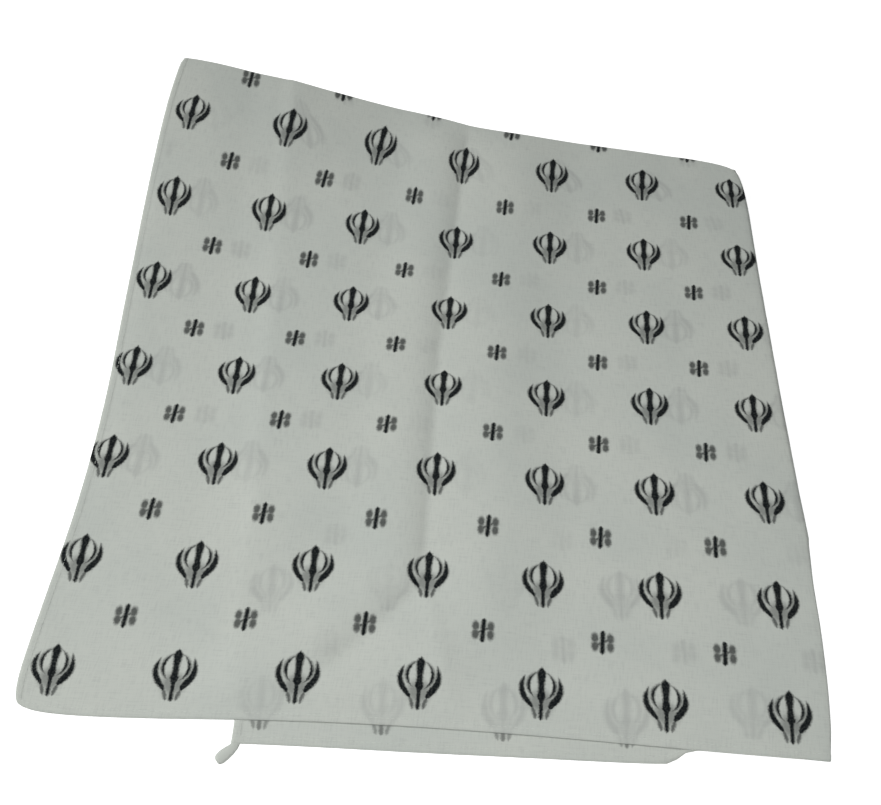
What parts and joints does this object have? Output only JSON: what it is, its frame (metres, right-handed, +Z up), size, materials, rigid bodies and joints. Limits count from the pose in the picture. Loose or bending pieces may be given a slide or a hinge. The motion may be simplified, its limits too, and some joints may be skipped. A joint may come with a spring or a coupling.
{
  "type": "folded rumal head wrap cloth",
  "caption": "Square cotton head cloth with a narrow hem and a small repeat print, folded in quarters into a flat packet.",
  "frame": {"origin": "on the surface that the packet lies on, under the middle of its bounding box", "axes": "+Z up from the surface, +Y from the near hem to the far fold, +X from the left hem to the right fold"},
  "size_m": [0.4104, 0.4746, 0.0129],
  "materials": {
    "cotton": "thin plain-woven cotton, matt, with a blue-black print"
  },
  "bodies": {
    "root": {"rumal_cloth": "cotton"}
  },
  "joints": []
}
